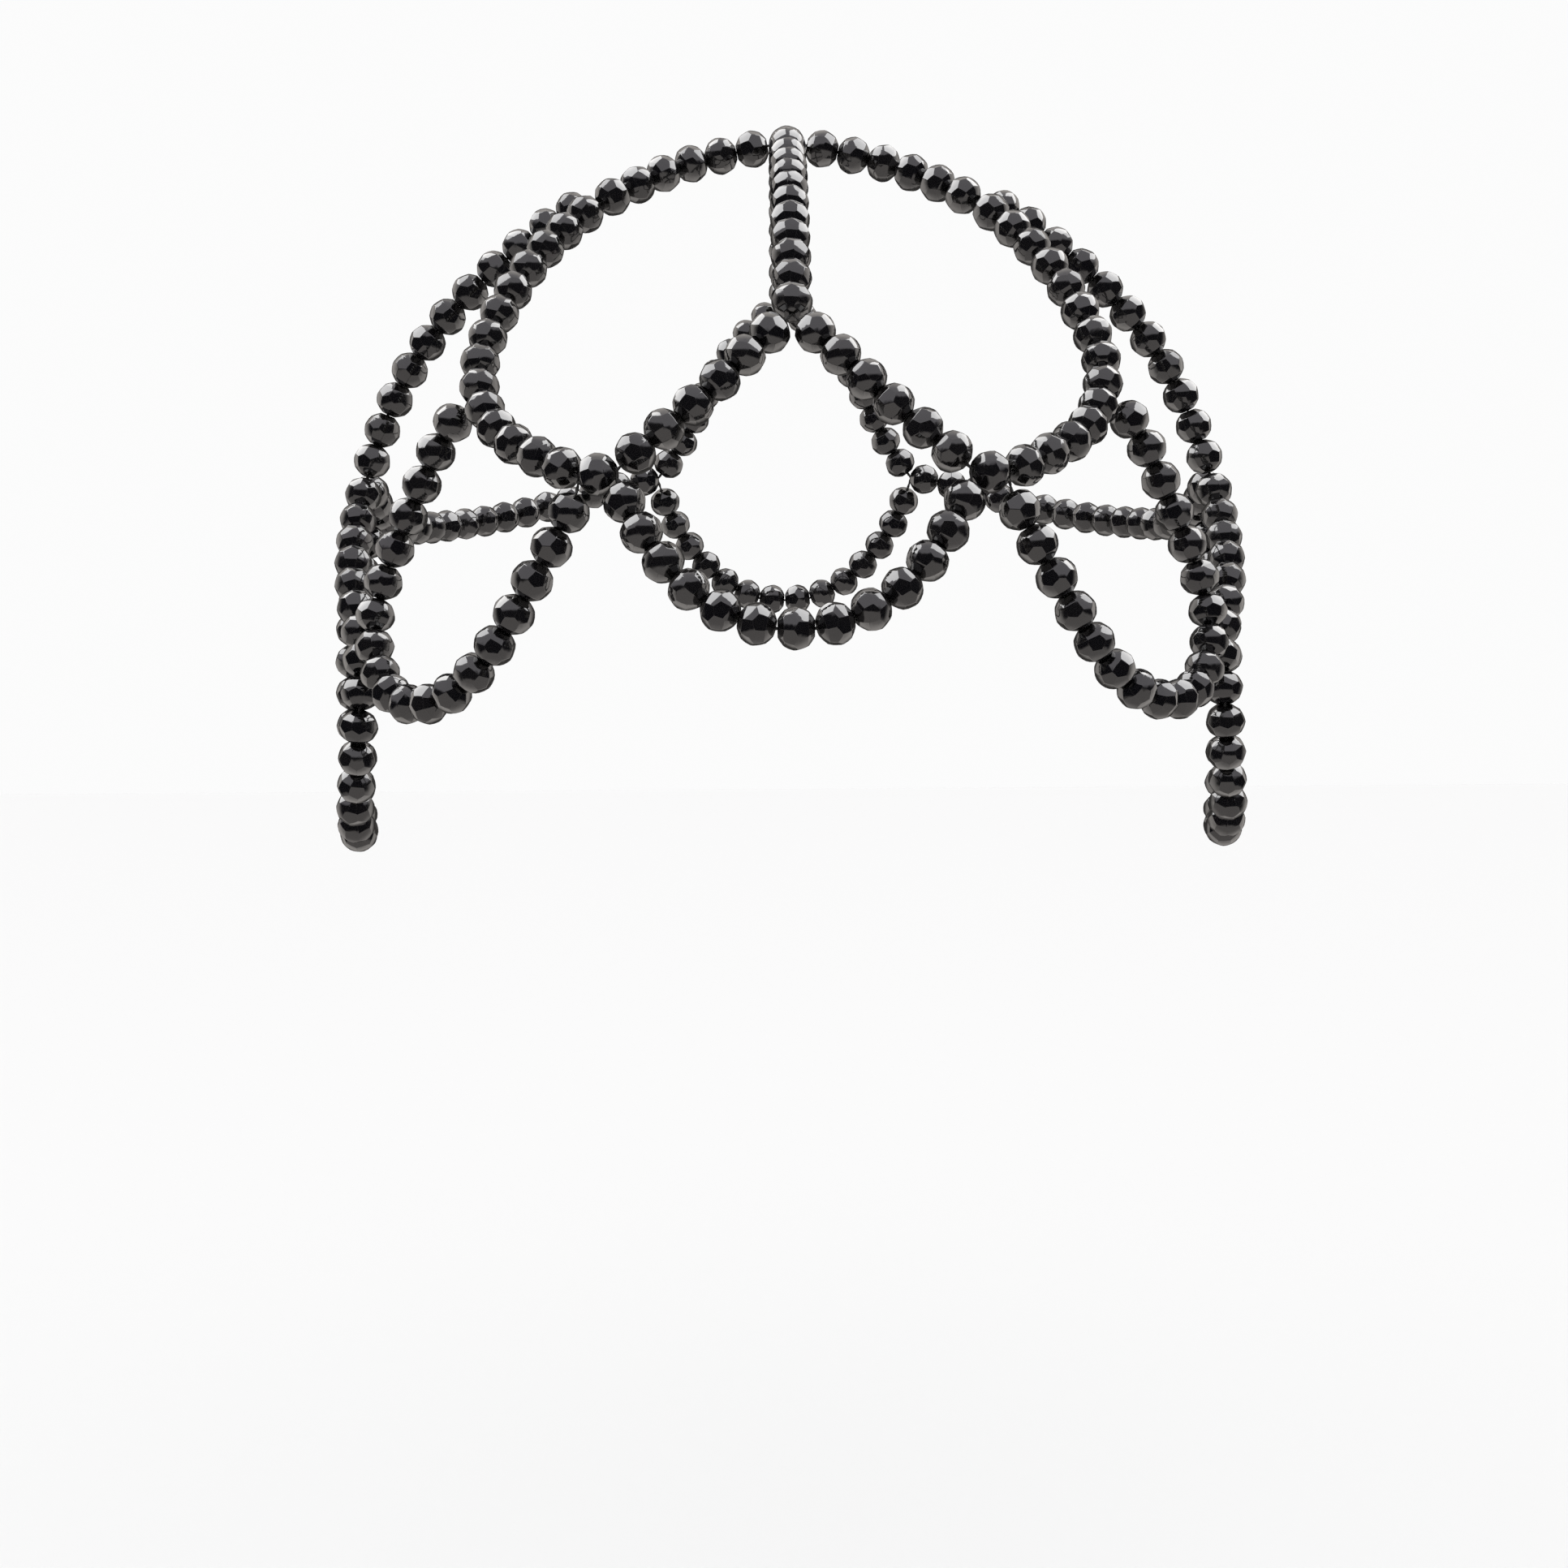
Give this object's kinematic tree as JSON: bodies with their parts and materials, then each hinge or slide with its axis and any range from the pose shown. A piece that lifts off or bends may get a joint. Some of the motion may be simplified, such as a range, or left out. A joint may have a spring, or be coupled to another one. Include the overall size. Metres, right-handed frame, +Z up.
{
  "type": "crystal headpiece",
  "caption": "Net of round black faceted beads worn over the crown, with a forked forehead drop, open cheek lobes and long lobes over the ears.",
  "frame": {"origin": "the point of the head right under the crossing of the threads at the crown", "axes": "+Z up, +Y towards the back of the head, +X towards the wearer's left ear"},
  "size_m": [0.175, 0.1839, 0.1391],
  "materials": {
    "black_crystal": "high gloss, faceted"
  },
  "bodies": {
    "root": {"front_centre_strand": "black_crystal", "back_centre_strand": "black_crystal", "front_loop": "black_crystal", "back_loop": "black_crystal", "left_side_strand": "black_crystal", "right_side_strand": "black_crystal", "left_front_diagonal": "black_crystal", "right_front_diagonal": "black_crystal", "left_front_junction_bead": "black_crystal", "right_front_junction_bead": "black_crystal", "left_front_swag": "black_crystal", "right_front_swag": "black_crystal", "left_front_lobe": "black_crystal", "right_front_lobe": "black_crystal", "left_rear_diagonal": "black_crystal", "right_rear_diagonal": "black_crystal", "left_side_lobe": "black_crystal", "right_side_lobe": "black_crystal", "left_back_swag": "black_crystal", "right_back_swag": "black_crystal", "left_back_diagonal": "black_crystal", "right_back_diagonal": "black_crystal", "left_back_junction_bead": "black_crystal", "right_back_junction_bead": "black_crystal"}
  },
  "joints": []
}
